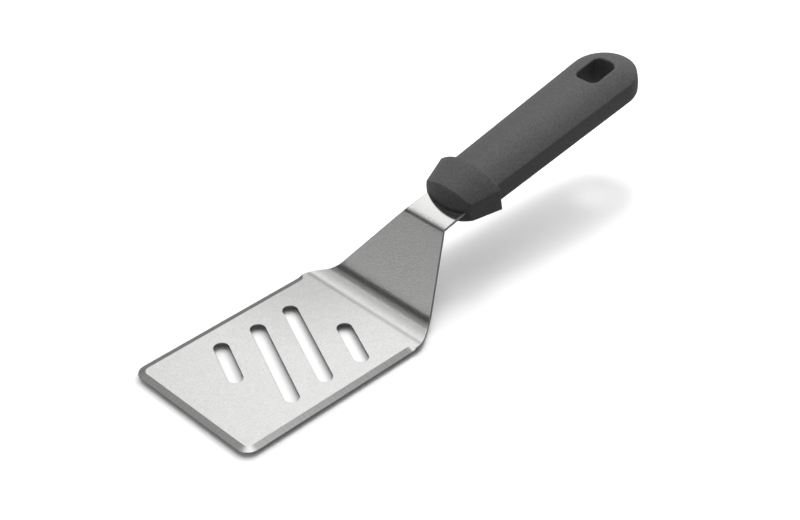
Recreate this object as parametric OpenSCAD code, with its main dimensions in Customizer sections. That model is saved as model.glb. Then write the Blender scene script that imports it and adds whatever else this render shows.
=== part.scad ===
// Slotted grill spatula: a bent steel sheet with a ground edge, and a plastic handle moulded over its tang.
// Millimetres. The blade lies flat on Z = 0, its underside centred on the origin, and the handle rises along +X.

/* [Blade] */
// Width across the ground side edges
blade_w = 80; // [64:1:110]
// Length from the front edge to the line where the riser's plane meets the blade
blade_l = 120; // [116:1:150]
// Thickness of the steel sheet
sheet_t = 1.2; // [1:0.1:2]
// Radius of the two front corners
front_corner_r = 6.5; // [5:0.5:12]
// Distance from the front edge to the shoulders, where the sides turn in
shoulder_x = 108.3; // [104:0.1:112]
// Radius of the rounded shoulders
shoulder_r = 16; // [6:1:24]

/* [Ground edge] */
// Width of the bevel, seen from above
bevel_w = 3.4; // [2:0.1:4.4]
// Height that the bevel takes off the sheet at its outer edge
bevel_drop = 0.95; // [0.5:0.05:0.95]
// Distance from the front edge at which the side bevels start to run out
bevel_end_x = 99; // [60:1:100]

/* [Slots] */
// Width of each slot
slot_w = 7.35; // [5:0.05:9]
// Length of the two middle slots, over their round ends
slot_long = 59.6; // [40:0.2:62]
// Length of the two outer slots, over their round ends
slot_short = 30.3; // [20:0.1:40]
// Angle of the slots from straight across the blade
slot_angle = 24.3; // [0:0.1:30]
// Distance from the front edge to the centre of the slot pattern
slots_x = 60.3; // [56:0.1:64]
// Offset of the slot pattern's centre to the side
slots_y = -1.3; // [-3:0.1:3]
// Distance between the two middle slots, along the blade
slot_step = 20.4; // [18:0.1:24]
// Distance from the pattern's centre to an outer slot, along the blade
outer_step_x = 25.4; // [24:0.1:28]
// Distance from the pattern's centre to an outer slot, across the blade
outer_step_y = 14.8; // [8:0.1:16]

/* [Riser and tang] */
// Angle at which the riser climbs from the blade
riser_angle = 46; // [35:1:55]
// Height of the upper bend's corner above the top of the blade
riser_h = 30.6; // [24:0.1:40]
// Radius of the lower bend, on its hollow top side
lower_bend_r = 10; // [4:0.5:12]
// Radius of the upper bend, on its hollow underside
upper_bend_r = 3.2; // [2:0.1:6]
// Slope of the tang and the handle
tang_tilt = 10; // [4:1:20]
// Width of the tang at the upper bend
tang_w = 26.2; // [22:0.1:28]
// Width of the tang at its hidden end
tang_end_w = 21; // [16:0.1:24]
// Length of the tang from the upper bend's corner
tang_l = 106; // [90:1:110]
// Diameter of the anchor holes in the hidden part of the tang
anchor_d = 8; // [5:0.5:10]
// Distance between the anchor holes
anchor_step = 22; // [16:1:24]
// Number of anchor holes
anchor_count = 3; // [1:1:3]
// Distance from the tang's hidden end to the centre of the last anchor hole
anchor_end = 12; // [10:0.5:16]

/* [Collar] */
// Distance from the upper bend's corner to the nose of the collar
nose_d = 12.2; // [10:0.1:20]
// Length of the collar from its nose to its rear face
collar_l = 21.5; // [18:0.5:26]
// Width of the collar at the nose
collar_nose_w = 27; // [26.8:0.1:32]
// Width of the collar at its rear face
collar_w = 40; // [37:0.5:46]
// Height of the collar's flat sides at the nose
collar_nose_side_h = 9.2; // [7:0.1:11]
// Height of the collar's flat sides at its rear face
collar_side_h = 12.5; // [11:0.1:15]
// Rise of the collar's top above its sides, at the rear face
collar_crown = 8; // [6.5:0.1:10]
// Depth of the collar's underside below its sides, at the rear face
collar_belly = 5; // [4.6:0.1:7]
// Radius of the domed nose, seen from above
nose_plan_r = 26.7; // [24:0.1:34]
// Radius of the domed nose, seen from the side
nose_side_r = 18; // [16:0.1:24]
// Radius of the fillet between the collar's rear face and the grip
collar_fillet_r = 3; // [1:0.5:3.5]

/* [Grip] */
// Length of the whole handle from its nose to its round end
handle_l = 139; // [134:0.5:160]
// Width of the grip at the collar
grip_w = 31.2; // [30:0.1:33]
// Width of the grip at its round end
grip_end_w = 36.4; // [34:0.1:40]
// Height of the grip's flat sides
grip_side_h = 10.3; // [8:0.1:11]
// Rise of the grip's top above its sides, at the round end
grip_crown = 6; // [4:0.1:7]
// Depth of the grip's underside below its sides, at the round end
grip_belly = 3; // [2:0.1:3.4]
// Gap that the moulding leaves round the tang as it shrinks
tang_gap = 0.05; // [0.02:0.01:0.2]

/* [Hang hole] */
// Length of the hang hole, along the handle
hang_l = 19.5; // [14:0.5:22]
// Width of the hang hole
hang_w = 13.5; // [9:0.5:16]
// Radius of the hang hole's corners
hang_r = 4.4; // [2:0.1:4.5]
// Distance from the hang hole to the handle's round end
hang_edge = 13.3; // [10:0.1:15]

/* [Hidden] */
$fn = 96;
// Reach of the cutting solids past what they cut
over = 1;
// How far an arc overlaps the flats that it runs into, so that they meet along a clean edge
seam = 0.01;
// Least width of the collar's rear face that shows outside its fillet
collar_land = 0.5;
// Height above the sheet at which the bevel's cut starts
bevel_lift = bevel_drop / 8;
steel = [0.78, 0.78, 0.77];
plastic = [0.27, 0.27, 0.28];

// Bends, measured along the top face of the sheet
lower_run = lower_bend_r * tan(riser_angle / 2);
upper_turn = riser_angle - tang_tilt;
upper_outer_r = upper_bend_r + sheet_t;
upper_run = upper_outer_r * tan(upper_turn / 2);

// Places along the blade, from the front edge
flat_l = blade_l - lower_run;
corner_x = blade_l + riser_h / tan(riser_angle);
corner_z = sheet_t + riser_h;
lower_centre = [flat_l, sheet_t + lower_bend_r];
upper_centre = [corner_x, corner_z] + upper_run * [cos(tang_tilt), sin(tang_tilt)]
             - upper_outer_r * [-sin(tang_tilt), cos(tang_tilt)];

// Outline of the sheet seen from above
half_w = blade_w / 2;
neck_w = tang_w / 2;
neck_turn = atan2(half_w - neck_w, corner_x - shoulder_x);
shoulder_run = shoulder_r * tan(neck_turn / 2);

// Handle, measured along the tang from the upper bend's corner, with Z = 0 midway through the sheet
collar_end = nose_d + collar_l;
tip = nose_d + handle_l;
end_r = grip_end_w / 2;
end_x = tip - end_r;
grip_run = end_x - collar_end;
grip_flare = asin(end_r / norm([grip_w / 2, grip_run])) - atan2(grip_w / 2, grip_run);
grip_stop = end_x - end_r * sin(grip_flare);
hang_x = tip - hang_edge - hang_l / 2;

// Radius of an arch from its half-width and its rise
function crown_r(half, rise) = (half * half + rise * rise) / (2 * rise);

// Fillet at the collar, held inside the step that it fills
rise_at_collar = grip_w / grip_end_w;
side_step = (collar_w - grip_w) / 2;
top_step = (collar_side_h - grip_side_h) / 2 + collar_crown - grip_crown * rise_at_collar;
under_step = (collar_side_h - grip_side_h) / 2 + collar_belly - grip_belly * rise_at_collar;
fillet_r = min(collar_fillet_r, min(side_step, top_step, under_step) - collar_land);

// Moves the front edge so that the blade's flat underside is centred on the origin
module from_front_edge() {
  translate([-flat_l / 2, 0, 0]) children();
}

// The tang's frame: X along the tang from the upper bend's corner, Z = 0 on its top face
module on_tang() {
  translate([corner_x, 0, corner_z]) rotate([0, -tang_tilt, 0]) children();
}

// The handle's frame: the tang's, with Z = 0 midway through the sheet
module on_handle() {
  on_tang() translate([0, 0, -sheet_t / 2]) children();
}

// A place on the sheet's side profile, at a depth below its top face
function lower_arc(turn, depth) = lower_centre + (lower_bend_r + depth) * [sin(turn), -cos(turn)];
function upper_arc(turn, depth) = upper_centre + (upper_outer_r - depth) * [-sin(turn), cos(turn)];
function along_tang(x, depth) =
  [corner_x, corner_z] + x * [cos(tang_tilt), sin(tang_tilt)] - depth * [-sin(tang_tilt), cos(tang_tilt)];

// Where the tangents at two ends of an arc meet
function sharp_corner(centre, start, end) =
  centre + (start + end - 2 * centre) / (1 + (start - centre) * (end - centre) / norm(start - centre) ^ 2);

// What is cut off a sharp corner to round it, from the centre and both ends of the arc
module corner_waste(centre, start, end) {
  rim = [start, sharp_corner(centre, start, end), end];
  difference() {
    polygon(concat([centre], [for (p = rim) p + over * (p - centre) / norm(p - centre)]));
    translate(centre) circle(norm(start - centre) + seam);
  }
}

// All that lies under the sheet's face at a depth below its top, seen from the side
module under_face(depth, front, tang_end) {
  upper_start = upper_arc(riser_angle, depth);
  upper_end = upper_arc(tang_tilt, depth);
  difference() {
    polygon([
      [front, -corner_z],
      [front, sheet_t - depth],
      lower_arc(0, depth),
      lower_arc(riser_angle, depth),
      sharp_corner(upper_centre, upper_start, upper_end),
      along_tang(tang_end, depth),
      along_tang(tang_end, 2 * corner_z)
    ]);
    translate(lower_centre) circle(lower_bend_r + depth);
    corner_waste(upper_centre, upper_start, upper_end);
  }
}

// The sheet bent to shape, before its outline is cut: what lies under its top face but not under its underside
module bent_sheet() {
  rotate([90, 0, 0]) linear_extrude(blade_w + 2 * over, center = true) difference() {
    under_face(0, 0, tang_l);
    under_face(sheet_t, -over, tang_l + over);
  }
}

// Half-width of the tang at a distance from the upper bend's corner
function tang_half(x) = (tang_w + (tang_end_w - tang_w) * x / tang_l) / 2;

// Outline of the whole sheet seen from above, with round front corners and shoulders
module sheet_outline() {
  r = front_corner_r;
  tail = tang_l + over;
  shoulder_start = [shoulder_x - shoulder_run, half_w];
  shoulder_end = [shoulder_x + shoulder_run * cos(neck_turn), half_w - shoulder_run * sin(neck_turn)];
  side = [
    [0, half_w],
    [shoulder_x, half_w],
    [corner_x, neck_w],
    [corner_x + tail * cos(tang_tilt), tang_half(tail)]
  ];
  far_side = [for (i = [len(side) - 1 : -1 : 0]) [side[i].x, -side[i].y]];
  difference() {
    polygon(concat(side, far_side));
    for (s = [0, 1]) mirror([0, s]) {
      corner_waste([r, half_w - r], [r, half_w], [0, half_w - r]);
      corner_waste(shoulder_start - [0, shoulder_r], shoulder_start, shoulder_end);
    }
  }
}

// Section of what the bevel takes away: r is the outer edge's distance from the middle of the section's frame
module bevel_section(r) {
  slope = bevel_drop / bevel_w;
  polygon([
    [r - bevel_w - bevel_lift / slope, sheet_t + bevel_lift],
    [r + over, sheet_t - bevel_drop - over * slope],
    [r + over, sheet_t + bevel_lift]
  ]);
}

// The bevel along a straight edge: X is the outward direction, and the edge runs along Y
module straight_bevel(r, length) {
  rotate([90, 0, 0]) linear_extrude(length, center = true) bevel_section(r);
}

// All that is ground off the front edge, the front corners and the sides, with run-outs at the shoulders
module ground_edge() {
  r = front_corner_r;
  side_l = bevel_end_x - r;
  run_out_h = bevel_drop + over;
  rotate([0, 0, 180]) straight_bevel(0, blade_w - 2 * r);
  for (s = [-1, 1]) {
    translate([r + side_l / 2, 0, 0]) rotate([0, 0, s * 90]) straight_bevel(half_w, side_l);
    translate([r, s * (half_w - r), 0]) rotate([0, 0, s > 0 ? 90 : 180])
      rotate_extrude(angle = 90) bevel_section(r);
    translate([bevel_end_x, s * half_w, sheet_t - bevel_drop])
      cylinder(h = run_out_h, r1 = 0, r2 = bevel_w * run_out_h / bevel_drop);
  }
}

// One slot with round ends, lying along Y
module slot(length) {
  run = length - slot_w;
  translate([0, 0, -over]) linear_extrude(sheet_t + 2 * over) {
    square([slot_w, run], center = true);
    for (s = [-1, 1]) translate([0, s * run / 2]) circle(slot_w / 2);
  }
}

// Four slots: two long ones in the middle and a short one on either side, each half turned about the centre
module slots() {
  translate([slots_x, slots_y, 0])
    for (half = [0, 180]) rotate([0, 0, half]) {
      translate([slot_step / 2, 0, 0]) rotate([0, 0, -slot_angle]) slot(slot_long);
      translate([outer_step_x, -outer_step_y, 0]) rotate([0, 0, -slot_angle]) slot(slot_short);
    }
}

// The holes that the handle's plastic fills, through the hidden part of the tang
module anchors(r) {
  first = tang_l - anchor_end - (anchor_count - 1) * anchor_step;
  tall = sheet_t + 2 * over;
  on_handle() for (i = [0 : anchor_count - 1])
    translate([first + i * anchor_step, 0, -tall / 2]) cylinder(h = tall, r = r);
}

module blade() {
  color(steel) from_front_edge() difference() {
    intersection() {
      bent_sheet();
      translate([0, 0, -over]) linear_extrude(2 * corner_z + tang_l) sheet_outline();
    }
    slots();
    ground_edge();
    anchors(anchor_d / 2);
  }
}

// The room that the handle leaves for the tang and what fills the anchor holes
module tang_room() {
  tall = sheet_t + 2 * tang_gap;
  difference() {
    on_handle() translate([0, 0, -tall / 2]) linear_extrude(tall) polygon([
      [0, -tang_half(0) - tang_gap],
      [tang_l + tang_gap, -tang_half(tang_l) - tang_gap],
      [tang_l + tang_gap, tang_half(tang_l) + tang_gap],
      [0, tang_half(0) + tang_gap]
    ]);
    anchors(anchor_d / 2 - tang_gap);
  }
}

// A cone whose surface holds the crest and both edges of a crowned top that widens along X:
// half-width and edge height at two places, and the crest's rise above the edge at the wider one
module crown_cone(x1, half1, edge1, x2, half2, edge2, rise) {
  apex_x = x1 - half1 * (x2 - x1) / (half2 - half1);
  apex_z = edge1 - half1 * (edge2 - edge1) / (half2 - half1);
  crest = [x2 - apex_x, 0, edge2 + rise - apex_z];
  edge = [x2 - apex_x, half2, edge2 - apex_z];
  gap = crest / norm(crest) - edge / norm(edge);
  axis = [gap.z, 0, -gap.x] / norm([gap.x, gap.z]);
  spread = acos(axis * crest / norm(crest));
  reach = norm(edge) + over;
  translate([apex_x, 0, apex_z]) rotate([0, atan2(axis.x, axis.z), 0])
    cylinder(h = reach, r1 = 0, r2 = reach * tan(spread));
}

// A tapered body with flat sides, a crowned top and a crowned underside
module crowned_body(x1, w1, side1, x2, w2, side2, crown, belly) {
  tall = side2 + 2 * max(crown, belly);
  intersection() {
    translate([0, 0, -tall]) linear_extrude(2 * tall)
      polygon([[x1, -w1 / 2], [x2, -w2 / 2], [x2, w2 / 2], [x1, w1 / 2]]);
    crown_cone(x1, w1 / 2, side1 / 2, x2, w2 / 2, side2 / 2, crown);
    mirror([0, 0, 1]) crown_cone(x1, w1 / 2, side1 / 2, x2, w2 / 2, side2 / 2, belly);
  }
}

// The domed nose: a barrel about an upright axis
module nose() {
  tall = 2 * nose_side_r;
  translate([nose_d + nose_plan_r, 0, 0])
    rotate_extrude() intersection() {
      translate([nose_plan_r - nose_side_r, 0]) circle(nose_side_r);
      translate([0, -tall / 2]) square([nose_plan_r + over, tall]);
    }
}

// The flared collar that stops the hand
module collar() {
  intersection() {
    crowned_body(nose_d, collar_nose_w, collar_nose_side_h, collar_end, collar_w, collar_side_h,
                 collar_crown, collar_belly);
    nose();
  }
}

// Half-width of the grip at a distance behind the collar
function grip_half(x) = grip_w / 2 + x * tan(grip_flare);

// What the fillet adds at the collar, in a section through the axis of one of its faces: a block with a hollow corner
module cove(face) {
  difference() {
    square([face + fillet_r, fillet_r]);
    translate([face + fillet_r, fillet_r]) circle(fillet_r);
  }
}

// The cove turned about the axis of the grip's crowned top, or of its underside, just behind the collar
module crown_cove(rise) {
  r = crown_r(grip_half(fillet_r), rise);
  translate([collar_end, 0, grip_side_h / 2 + rise - r]) rotate([0, 90, 0]) rotate_extrude() cove(r - seam);
}

// The fillet round the grip where it leaves the collar
module collar_fillet() {
  tall = grip_side_h + 2 * collar_crown + 2 * collar_belly;
  intersection() {
    translate([collar_end, 0, -tall / 2]) linear_extrude(tall)
      for (s = [0, 1]) mirror([0, s]) mirror([1, -1]) cove(grip_half(fillet_r) - seam);
    crown_cove(rise_at_collar * grip_crown);
    mirror([0, 0, 1]) crown_cove(rise_at_collar * grip_belly);
  }
}

// Outline of the grip seen from above: straight sides that run into a round end
module grip_outline() {
  far = grip_half(tip + over - collar_end);
  difference() {
    polygon([[collar_end, -grip_w / 2], [tip + over, -far], [tip + over, far], [collar_end, grip_w / 2]]);
    difference() {
      translate([grip_stop, -grip_end_w]) square([grip_end_w, 2 * grip_end_w]);
      translate([end_x, 0]) circle(end_r + seam);
    }
  }
}

// All that lies under the grip's crowned top: a ball that holds the rim of the round end,
// and the cone round it from the place where the two side edges would meet
module under_crown(rise) {
  r = crown_r(end_r, rise);
  drop = r - rise;
  run = end_r / sin(grip_flare);
  reach = norm([run, drop]);
  spread = asin(r / reach);
  touch = -r * sin(spread);
  translate([end_x, 0, grip_side_h / 2 - drop]) rotate([0, 90 + atan2(drop, run), 0])
    rotate_extrude() {
      polygon([[0, -reach], [r * cos(spread) - seam, touch], [0, touch]]);
      intersection() {
        circle(r);
        translate([0, -r]) square([r, 2 * r]);
      }
    }
}

// The crowned grip, which widens from the collar to its domed round end
module grip() {
  tall = grip_side_h + 2 * max(grip_crown, grip_belly);
  intersection() {
    translate([0, 0, -tall / 2]) linear_extrude(tall) grip_outline();
    under_crown(grip_crown);
    mirror([0, 0, 1]) under_crown(grip_belly);
  }
}

// The hole that the handle hangs by
module hang_hole() {
  tall = grip_side_h + 4 * max(grip_crown, grip_belly);
  run_x = hang_l / 2 - hang_r;
  run_y = hang_w / 2 - hang_r;
  translate([hang_x, 0, -tall / 2]) linear_extrude(tall) {
    square([hang_l, 2 * run_y], center = true);
    square([2 * run_x, hang_w], center = true);
    for (i = [-1, 1], j = [-1, 1]) translate([i * run_x, j * run_y]) circle(hang_r);
  }
}

module handle() {
  color(plastic) from_front_edge() difference() {
    on_handle() difference() {
      union() {
        collar();
        collar_fillet();
        grip();
      }
      hang_hole();
    }
    tang_room();
  }
}

blade();
handle();
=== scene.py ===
# %% [markdown]
# # A slotted grill spatula
# The real tool is two pieces: one steel sheet, cut, slotted, ground along its edge and bent twice, and one
# plastic handle that is moulded over the end of the sheet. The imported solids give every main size. This
# script gives both pieces the softened edges and the finishes that a finger and an eye would notice.

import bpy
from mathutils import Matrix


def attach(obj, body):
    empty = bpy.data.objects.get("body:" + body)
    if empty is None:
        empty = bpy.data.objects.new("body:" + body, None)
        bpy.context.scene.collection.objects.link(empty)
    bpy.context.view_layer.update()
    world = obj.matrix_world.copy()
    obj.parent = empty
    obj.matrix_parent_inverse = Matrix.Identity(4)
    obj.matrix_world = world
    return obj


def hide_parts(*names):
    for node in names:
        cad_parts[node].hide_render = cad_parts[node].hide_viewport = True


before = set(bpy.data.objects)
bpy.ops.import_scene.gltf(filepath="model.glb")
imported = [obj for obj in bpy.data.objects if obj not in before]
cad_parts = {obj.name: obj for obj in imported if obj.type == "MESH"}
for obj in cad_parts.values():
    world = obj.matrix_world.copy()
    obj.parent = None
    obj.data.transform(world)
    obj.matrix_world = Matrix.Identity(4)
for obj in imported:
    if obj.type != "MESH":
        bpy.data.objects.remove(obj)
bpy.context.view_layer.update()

# %% Tools for meshes and maths
import math

import bmesh
import bpy
import numpy as np
from mathutils import Matrix, Vector
from mathutils.geometry import delaunay_2d_cdt

MM = 0.001  # the tool's sizes are in millimetres, and Blender's unit is the metre


def add_object(name, data):
    made = bpy.data.objects.new(name, data)
    bpy.context.scene.collection.objects.link(made)
    return made


# %% [markdown]
# ## Camera
# A product picture like this is taken from above one front corner with a long lens, so that edges which run
# the same way stay nearly parallel. The place, the two angles and the lens were found by fitting the blade's
# straight edges and its slots. The camera comes before the pieces, because every later look is judged
# through it.

# %% Camera
IMAGE_W = 800
SENSOR_MM = 36.0
FOCAL_PX = 1733.0
CAMERA_AT = (-400.3, -478.2, 511.2)
CAMERA_TURN, CAMERA_HEIGHT = math.radians(-44.83), math.radians(36.29)


def add_camera():
    lens = bpy.data.cameras.new("photo_camera")
    lens.sensor_width = SENSOR_MM
    lens.lens = FOCAL_PX / IMAGE_W * SENSOR_MM
    right = Vector((math.cos(CAMERA_TURN), math.sin(CAMERA_TURN), 0))
    level = math.cos(CAMERA_HEIGHT)
    back = Vector((math.sin(CAMERA_TURN) * level, -math.cos(CAMERA_TURN) * level, math.sin(CAMERA_HEIGHT)))
    up = back.cross(right)
    turn = Matrix((right, up, back)).transposed()
    camera = add_object("photo_camera", lens)
    camera.matrix_world = Matrix.Translation(Vector(CAMERA_AT) * MM) @ turn.to_4x4()
    bpy.context.scene.camera = camera
    return lens


print("lens:", round(add_camera().lens, 2), "mm")

# %% [markdown]
# ## A skin made of rings and fills
# Both pieces are solids whose edges are slightly rounded all the way round. A Bevel modifier could round
# them, but it stumbles where a sloping edge runs out or where two rounds meet. So each edge is drawn as a few
# rings of points that step round it, neighbouring rings are joined by bands of quads, and the broad faces
# between the rings are filled with small triangles through scattered points, which lets them bend or bulge.

# %% Rings, bands and fills
SNAP = 1e-7  # in a fill, points nearer than this count as one


class Skin:
    """Points and faces of one closed piece. Each face keeps the number of its finish."""

    def __init__(self):
        self.points, self.faces, self.finishes, self.sharp = [], [], [], []

    def ring(self, points, sharp=False):
        first = len(self.points)
        self.points.extend(tuple(p) for p in points)
        ring = list(range(first, len(self.points)))
        if sharp:
            self.sharp.extend(zip(ring, ring[1:] + ring[:1]))
        return ring

    def face(self, corners, finish=0):
        self.faces.append(tuple(corners))
        self.finishes.append(finish)

    def bands(self, rings, finish=0, closed=True):
        for a, b in zip(rings, rings[1:]):
            for i in range(len(a) if closed else len(a) - 1):
                j = (i + 1) % len(a)
                self.face((a[i], a[j], b[j], b[i]), finish)

    def fill(self, rims, flat, scattered, place, finish=0):
        """Triangles inside the first rim and outside the others. flat holds the rims' points in the plane,
        and place carries the scattered points from there to the part."""
        flat = [single(rim) for rim in flat]
        inner = clear_points(single(scattered), flat)
        ids = [i for rim in rims for i in rim] + self.ring(place(inner))
        everything = np.vstack(flat + [inner])
        edges, start = [], 0
        for rim in rims:
            n = len(rim)
            edges += [(start + i, start + (i + 1) % n) for i in range(n)]
            start += n
        made = delaunay_2d_cdt([Vector(p) for p in everything.tolist()], edges, [], 0, SNAP)
        source = [origin[0] for origin in made[3]]
        triangles = np.array([[source[i] for i in face] for face in made[2]])
        for a, b, c in triangles[between(everything[triangles].mean(axis=1), flat)]:
            self.face((ids[a], ids[b], ids[c]), finish)

    def make(self, name, finishes):
        mesh = bpy.data.meshes.new(name)
        mesh.from_pydata([tuple(float(v) * MM for v in p) for p in self.points], [], self.faces)
        for finish in finishes:
            mesh.materials.append(finish)
        mesh.polygons.foreach_set("material_index", self.finishes)
        mesh.polygons.foreach_set("use_smooth", [True] * len(self.faces))
        loose = self.settle(mesh)
        print(name, "faces:", len(mesh.polygons), "open edges:", loose)
        return add_object(name, mesh)

    def settle(self, mesh):
        """Turns the faces outwards, marks the sharp rings, and counts the edges without two faces."""
        shape = bmesh.new()
        shape.from_mesh(mesh)
        bmesh.ops.recalc_face_normals(shape, faces=shape.faces)
        by_ends = {tuple(sorted(v.index for v in e.verts)): e for e in shape.edges}
        for ends in self.sharp:
            by_ends[tuple(sorted(ends))].smooth = False
        loose = sum(1 for e in shape.edges if len(e.link_faces) != 2)
        shape.to_mesh(mesh)
        shape.free()
        return loose


# %% Points inside loops
CLEAR = 0.8  # no scattered point lies nearer to a rim


def single(points):
    """Points rounded as Blender's vectors are, so that a fill and the test for inside see the same ones."""
    return np.asarray(points, np.float32).astype(float)


def inside(points, loop):
    """Which points lie inside a closed loop, by counting the edges that a ray crosses."""
    (x0, y0), (x1, y1) = loop.T, np.roll(loop, -1, axis=0).T
    px, py = points[:, :1], points[:, 1:]
    crosses = (y0 > py) != (y1 > py)
    with np.errstate(divide="ignore", invalid="ignore"):
        at = x0 + (py - y0) / (y1 - y0) * (x1 - x0)
    return (crosses & (px < at)).sum(axis=1) % 2 == 1


def between(points, loops):
    """Which points lie inside the first loop and outside the others."""
    keep = inside(points, loops[0])
    for hole in loops[1:]:
        keep &= ~inside(points, hole)
    return keep


def clear_points(points, loops):
    """The points between the loops that are not too near to any."""
    points = points[between(points, loops)]
    rim = np.vstack(loops)
    gap = np.array([np.hypot(*(rim - p).T).min() for p in points])
    return points[gap > CLEAR]


def grid_points(columns, reach, step):
    rows = np.arange(-reach, reach + step / 2, step)
    return np.array([(x, y) for x in columns for y in rows])


print("scattered points keep", CLEAR, "mm off the rims")

# %% Loops with round corners
LEAST_PIECES, MOST_TURN = 4, math.radians(7)  # how finely a round corner is divided
WHOLE = 1e-6  # a stretch this little over a whole number of steps isn't divided once more


def round_corner(before, corner, after, radius, step):
    a = (before - corner) / np.linalg.norm(before - corner)
    b = (after - corner) / np.linalg.norm(after - corner)
    half = math.acos(float(np.clip(a @ b, -1, 1))) / 2
    centre = corner + (a + b) / np.linalg.norm(a + b) * radius / math.sin(half)
    start, end = corner + a * radius / math.tan(half), corner + b * radius / math.tan(half)
    turn = math.pi - 2 * half
    count = max(LEAST_PIECES, math.ceil(turn * radius / step), math.ceil(turn / MOST_TURN))
    from_a, from_b = (start - centre) / radius, (end - centre) / radius
    spots = []
    for k in range(count + 1):
        t = k / count
        mix = from_a * math.sin((1 - t) * turn) + from_b * math.sin(t * turn)
        spots.append(centre + radius * mix / math.sin(turn))
    return spots


def rounded_loop(corners, step):
    """A closed loop through corners (x, y, radius), counter-clockwise, with points about one step apart."""
    places = [np.array(corner[:2], float) for corner in corners]
    spots, n = [], len(corners)
    for i in range(n):
        spots += round_corner(places[i - 1], places[i], places[(i + 1) % n], corners[i][2], step)
    loop = []
    for p, q in zip(spots, spots[1:] + spots[:1]):
        count = max(1, math.ceil(float(np.linalg.norm(q - p)) / step - WHOLE))
        loop += [p + (q - p) * k / count for k in range(count)]
    return np.array(loop)


def box_corners(length, width, radius):
    """Corners of a rectangle round the origin."""
    a, b = length / 2, width / 2
    return [(-a, -b, radius), (a, -b, radius), (a, b, radius), (-a, b, radius)]


def unit(rows):
    return rows / np.linalg.norm(rows, axis=1, keepdims=True)


def outward(loop):
    """The unit vectors that point out of a counter-clockwise loop."""
    along = unit(np.roll(loop, -1, axis=0) - np.roll(loop, 1, axis=0))
    return np.column_stack([along[:, 1], -along[:, 0]])


print("points round a small box:", len(rounded_loop(box_corners(20, 10, 3), 1)))

# %% [markdown]
# ## Shader maths as Python
# A procedural finish is arithmetic on noise and distances. It could be wired node by node, but that hides the
# arithmetic. Wrapping one socket in a small class lets it be written as plain expressions, and one method
# makes every other kind of node.

# %% The socket class
class Flow:
    """One socket in a node tree. Arithmetic on it adds Math nodes."""

    def __init__(self, tree, socket=None):
        self.tree, self.socket = tree, socket

    def node(self, kind, settings=None, sockets=None, out=0):
        made = self.tree.nodes.new("ShaderNode" + kind)
        for key, value in (settings or {}).items():
            setattr(made, key, value)
        for key, value in (sockets or {}).items():
            feed(self.tree, made.inputs[key], value)
        return Flow(self.tree, made.outputs[out] if made.outputs else None)

    def maths(self, operation, *values):
        return self.node("Math", {"operation": operation}, dict(enumerate(values)))

    def __add__(self, other):
        return self.maths("ADD", self, other)

    def __sub__(self, other):
        return self.maths("SUBTRACT", self, other)

    def __rsub__(self, other):
        return self.maths("SUBTRACT", other, self)

    def __mul__(self, other):
        return self.maths("MULTIPLY", self, other)

    __radd__, __rmul__ = __add__, __mul__


def feed(tree, socket, value):
    if isinstance(value, Flow):
        tree.links.new(value.socket, socket)
    else:
        socket.default_value = value


# %% Helpers for finishes
def part_place(flow):
    return flow.node("TexCoord", out="Object")


def part_x(flow):
    return flow.node("SeparateXYZ", None, {"Vector": part_place(flow)}, out="X")


def grain(flow, per_metre, detail=2.0, roughness=0.5, where=None):
    """Noise from 0 to 1, in the part's own coordinates or in others."""
    return flow.node("TexNoise", None, {"Vector": where or part_place(flow), "Scale": per_metre,
                                        "Detail": detail, "Roughness": roughness})


def soft_step(flow, value, start, end, most=1.0):
    """From 0 at start to the most at end, with soft ends."""
    return flow.node("MapRange", {"interpolation_type": "SMOOTHSTEP"},
                     {"Value": value, "From Min": start, "From Max": end, "To Max": most})


def tinted(flow, amount, dark, light):
    """A colour between two, by an amount from 0 to 1."""
    return flow.node("Mix", {"data_type": "RGBA"}, {"Factor": amount, 6: (*dark, 1), 7: (*light, 1)}, out=2)


def darkened(flow, amount, colour, shade):
    """A colour times a shade, by an amount from 0 to 1."""
    return flow.node("Mix", {"data_type": "RGBA", "blend_type": "MULTIPLY"},
                     {"Factor": amount, 6: colour, 7: shade}, out=2)


def bumped(flow, height, strength, depth):
    return flow.node("Bump", None, {"Strength": strength, "Distance": depth, "Height": height})


def grey(level):
    return (level, level, level)


def finish(name, build):
    """A new material. build gets a Flow and returns the Principled shader's values and links."""
    material = bpy.data.materials.new(name)
    material.use_nodes = True
    tree = material.node_tree
    shader = tree.nodes["Principled BSDF"]
    for socket, value in build(Flow(tree)).items():
        feed(tree, shader.inputs[socket], value)
    print("finish:", name, "nodes:", len(tree.nodes))
    return material


# %% [markdown]
# ## The sheet's side profile
# A bent sheet is easiest to draw flat, as the press shop does, and then to bend point by point. The profile
# is the sheet's top face seen from the side: flat, lower bend, riser, upper bend, tang. A point at some
# distance under that face is found along the face's normal, so the sheet keeps its thickness through both
# bends. A press leaves a faint line just in front of the lower bend, and that is part of the top face too.

# %% Profile of the sheet
SHEET_T = 1.2
BLADE_L, RISER_H = 120.0, 30.6
RISER, TILT = math.radians(46), math.radians(10)
LOWER_R, UPPER_R = 10.0, 3.2 + SHEET_T
TANG_L = 106.0
FLAT_L = BLADE_L - LOWER_R * math.tan(RISER / 2)
CORNER = np.array([BLADE_L + RISER_H / math.tan(RISER), SHEET_T + RISER_H])
ALONG = np.array([math.cos(TILT), 0, math.sin(TILT)])
ABOVE = np.array([-math.sin(TILT), 0, math.cos(TILT)])
LOWER_ROWS, UPPER_ROWS = 80, 60
PAST_ENDS = 5.0  # how far the profile goes past both ends


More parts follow.
